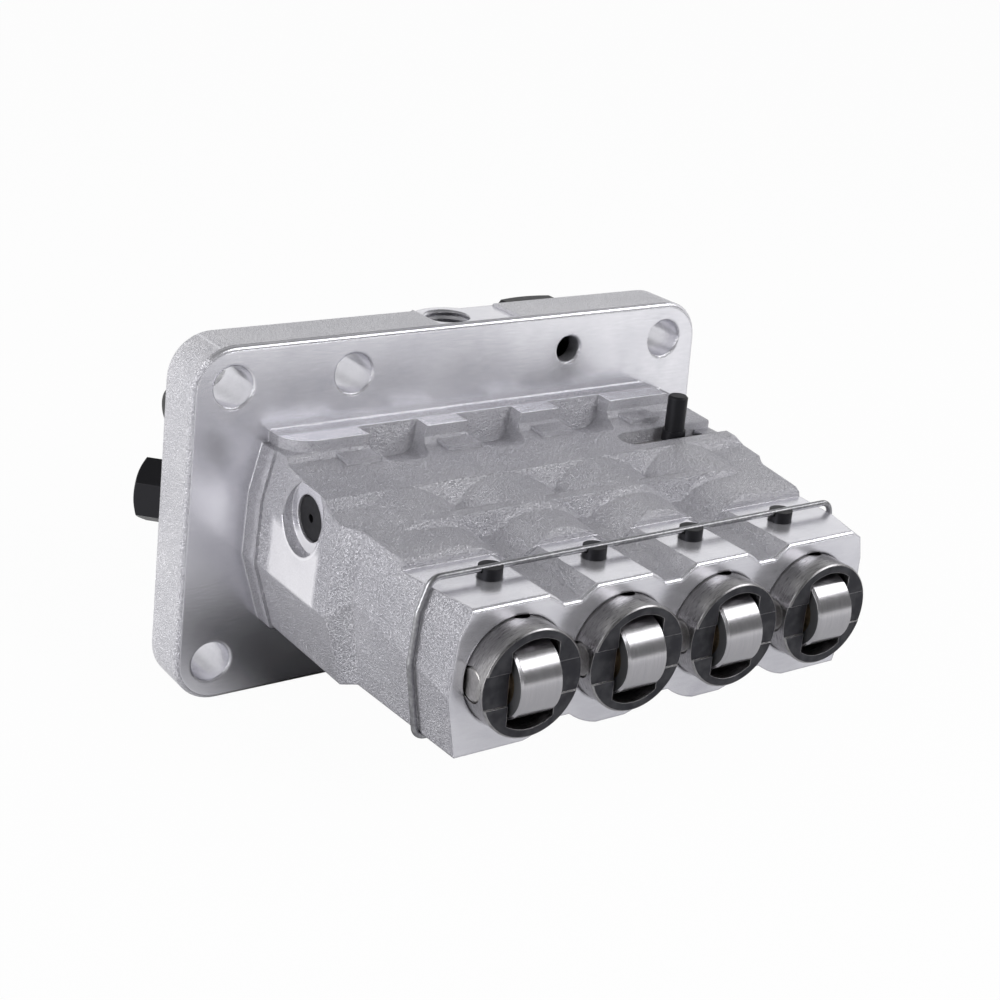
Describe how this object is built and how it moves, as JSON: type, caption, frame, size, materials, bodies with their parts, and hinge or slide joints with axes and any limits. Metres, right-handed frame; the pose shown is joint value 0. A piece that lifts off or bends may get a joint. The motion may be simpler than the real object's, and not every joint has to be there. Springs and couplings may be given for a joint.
{
  "type": "diesel injection pump",
  "caption": "Flange-mounted in-line diesel injection pump: cast body with a row of roller tappets, a sliding control rack with an upright pin, and threaded delivery outlets.",
  "frame": {"origin": "on the flange's mounting face, midway along the row of plungers, on the plungers' axes", "axes": "+X along the row of plungers, +Y from the rollers to the delivery outlets, +Z to the side of the upright rack pin"},
  "size_m": [0.1383, 0.1556, 0.0804],
  "materials": {
    "cast_aluminium": "sand cast with machined faces",
    "ground_steel": "ground",
    "polished_roller_steel": "polished",
    "barrel_steel": "lapped",
    "spring_seat_steel": "phosphated",
    "spring_wire": "drawn",
    "black_oxide_steel": "black oxide",
    "zinc_plated_steel": "zinc plated",
    "bush_bronze": "turned",
    "copper_washer": "annealed",
    "o_ring_rubber": "matte",
    "black_plastic": "matte"
  },
  "bodies": {
    "housing": {"pump_housing": "cast_aluminium", "upper_spring_seats": "spring_seat_steel", "barrels": "barrel_steel", "delivery_valve_seats": "barrel_steel", "valve_seat_gaskets": "copper_washer", "delivery_valve_holders": "zinc_plated_steel", "holder_o_rings": "o_ring_rubber", "lock_plates": "zinc_plated_steel", "lock_screws": "black_oxide_steel", "guide_pins": "black_oxide_steel", "wire_clip": "spring_wire", "rack_plug_left": "black_oxide_steel", "rack_plug_right": "black_oxide_steel", "rear_hex_plug": "black_oxide_steel", "vent_screw": "black_oxide_steel", "sealing_washers": "copper_washer", "return_port_cap": "black_plastic", "gallery_plug": "black_oxide_steel", "plunger_spring_1": "spring_wire", "plunger_spring_2": "spring_wire", "plunger_spring_3": "spring_wire", "plunger_spring_4": "spring_wire", "delivery_spring_1": "spring_wire", "delivery_spring_2": "spring_wire", "delivery_spring_3": "spring_wire", "delivery_spring_4": "spring_wire"},
    "rack": {"control_rack": "ground_steel", "rack_pin": "black_oxide_steel"},
    "tappet_1": {"tappet_body_1": "ground_steel", "roller_pin_1": "ground_steel", "lower_spring_seat_1": "spring_seat_steel"},
    "cam_roller_1": {"roller_1": "polished_roller_steel", "roller_bush_1": "bush_bronze"},
    "plunger_line_1": {"plunger_1": "ground_steel"},
    "sleeve_1": {"control_sleeve_1": "ground_steel"},
    "valve_1": {"delivery_valve_1": "ground_steel"},
    "tappet_2": {"tappet_body_2": "ground_steel", "roller_pin_2": "ground_steel", "lower_spring_seat_2": "spring_seat_steel"},
    "cam_roller_2": {"roller_2": "polished_roller_steel", "roller_bush_2": "bush_bronze"},
    "plunger_line_2": {"plunger_2": "ground_steel"},
    "sleeve_2": {"control_sleeve_2": "ground_steel"},
    "valve_2": {"delivery_valve_2": "ground_steel"},
    "tappet_3": {"tappet_body_3": "ground_steel", "roller_pin_3": "ground_steel", "lower_spring_seat_3": "spring_seat_steel"},
    "cam_roller_3": {"roller_3": "polished_roller_steel", "roller_bush_3": "bush_bronze"},
    "plunger_line_3": {"plunger_3": "ground_steel"},
    "sleeve_3": {"control_sleeve_3": "ground_steel"},
    "valve_3": {"delivery_valve_3": "ground_steel"},
    "tappet_4": {"tappet_body_4": "ground_steel", "roller_pin_4": "ground_steel", "lower_spring_seat_4": "spring_seat_steel"},
    "cam_roller_4": {"roller_4": "polished_roller_steel", "roller_bush_4": "bush_bronze"},
    "plunger_line_4": {"plunger_4": "ground_steel"},
    "sleeve_4": {"control_sleeve_4": "ground_steel"},
    "valve_4": {"delivery_valve_4": "ground_steel"}
  },
  "joints": [
    {"name": "rack_slide", "type": "slide", "parent": "housing", "child": "rack", "axis": [1, 0, 0], "range_m": [-0.006, 0.006]},
    {"name": "tappet_1_lift", "type": "slide", "parent": "housing", "child": "tappet_1", "axis": [0, 1, 0], "range_m": [0, 0.008], "stiffness_N_per_m": 8000, "springref_m": -0.004, "deforming": ["plunger_spring_1"]},
    {"name": "roller_1_spin", "type": "hinge", "parent": "tappet_1", "child": "cam_roller_1", "pos_m": [-0.0375, -0.0746, 0], "axis": [1, 0, 0], "continuous": true},
    {"name": "plunger_1_turn", "type": "hinge", "parent": "tappet_1", "child": "plunger_line_1", "pos_m": [-0.0375, 0, 0], "axis": [0, 1, 0], "range_deg": [-30.5, 30.5]},
    {"name": "sleeve_1_turn", "type": "hinge", "parent": "housing", "child": "sleeve_1", "pos_m": [-0.0375, 0, 0], "axis": [0, 1, 0], "range_deg": [-30.5, 30.5]},
    {"name": "valve_1_lift", "type": "slide", "parent": "housing", "child": "valve_1", "axis": [0, 1, 0], "range_m": [0, 0.0025], "stiffness_N_per_m": 2000, "springref_m": -0.004, "deforming": ["delivery_spring_1"]},
    {"name": "tappet_2_lift", "type": "slide", "parent": "housing", "child": "tappet_2", "axis": [0, 1, 0], "range_m": [0, 0.008], "stiffness_N_per_m": 8000, "springref_m": -0.004, "deforming": ["plunger_spring_2"]},
    {"name": "roller_2_spin", "type": "hinge", "parent": "tappet_2", "child": "cam_roller_2", "pos_m": [-0.0125, -0.0746, 0], "axis": [1, 0, 0], "continuous": true},
    {"name": "plunger_2_turn", "type": "hinge", "parent": "tappet_2", "child": "plunger_line_2", "pos_m": [-0.0125, 0, 0], "axis": [0, 1, 0], "range_deg": [-30.5, 30.5]},
    {"name": "sleeve_2_turn", "type": "hinge", "parent": "housing", "child": "sleeve_2", "pos_m": [-0.0125, 0, 0], "axis": [0, 1, 0], "range_deg": [-30.5, 30.5]},
    {"name": "valve_2_lift", "type": "slide", "parent": "housing", "child": "valve_2", "axis": [0, 1, 0], "range_m": [0, 0.0025], "stiffness_N_per_m": 2000, "springref_m": -0.004, "deforming": ["delivery_spring_2"]},
    {"name": "tappet_3_lift", "type": "slide", "parent": "housing", "child": "tappet_3", "axis": [0, 1, 0], "range_m": [0, 0.008], "stiffness_N_per_m": 8000, "springref_m": -0.004, "deforming": ["plunger_spring_3"]},
    {"name": "roller_3_spin", "type": "hinge", "parent": "tappet_3", "child": "cam_roller_3", "pos_m": [0.0125, -0.0746, 0], "axis": [1, 0, 0], "continuous": true},
    {"name": "plunger_3_turn", "type": "hinge", "parent": "tappet_3", "child": "plunger_line_3", "pos_m": [0.0125, 0, 0], "axis": [0, 1, 0], "range_deg": [-30.5, 30.5]},
    {"name": "sleeve_3_turn", "type": "hinge", "parent": "housing", "child": "sleeve_3", "pos_m": [0.0125, 0, 0], "axis": [0, 1, 0], "range_deg": [-30.5, 30.5]},
    {"name": "valve_3_lift", "type": "slide", "parent": "housing", "child": "valve_3", "axis": [0, 1, 0], "range_m": [0, 0.0025], "stiffness_N_per_m": 2000, "springref_m": -0.004, "deforming": ["delivery_spring_3"]},
    {"name": "tappet_4_lift", "type": "slide", "parent": "housing", "child": "tappet_4", "axis": [0, 1, 0], "range_m": [0, 0.008], "stiffness_N_per_m": 8000, "springref_m": -0.004, "deforming": ["plunger_spring_4"]},
    {"name": "roller_4_spin", "type": "hinge", "parent": "tappet_4", "child": "cam_roller_4", "pos_m": [0.0375, -0.0746, 0], "axis": [1, 0, 0], "continuous": true},
    {"name": "plunger_4_turn", "type": "hinge", "parent": "tappet_4", "child": "plunger_line_4", "pos_m": [0.0375, 0, 0], "axis": [0, 1, 0], "range_deg": [-30.5, 30.5]},
    {"name": "sleeve_4_turn", "type": "hinge", "parent": "housing", "child": "sleeve_4", "pos_m": [0.0375, 0, 0], "axis": [0, 1, 0], "range_deg": [-30.5, 30.5]},
    {"name": "valve_4_lift", "type": "slide", "parent": "housing", "child": "valve_4", "axis": [0, 1, 0], "range_m": [0, 0.0025], "stiffness_N_per_m": 2000, "springref_m": -0.004, "deforming": ["delivery_spring_4"]}
  ],
  "couplings": [
    {"joint": "plunger_1_turn", "follows": "rack_slide", "rad_per_m": 88},
    {"joint": "sleeve_1_turn", "follows": "rack_slide", "rad_per_m": 88},
    {"joint": "plunger_2_turn", "follows": "rack_slide", "rad_per_m": 88},
    {"joint": "sleeve_2_turn", "follows": "rack_slide", "rad_per_m": 88},
    {"joint": "plunger_3_turn", "follows": "rack_slide", "rad_per_m": 88},
    {"joint": "sleeve_3_turn", "follows": "rack_slide", "rad_per_m": 88},
    {"joint": "plunger_4_turn", "follows": "rack_slide", "rad_per_m": 88},
    {"joint": "sleeve_4_turn", "follows": "rack_slide", "rad_per_m": 88}
  ]
}
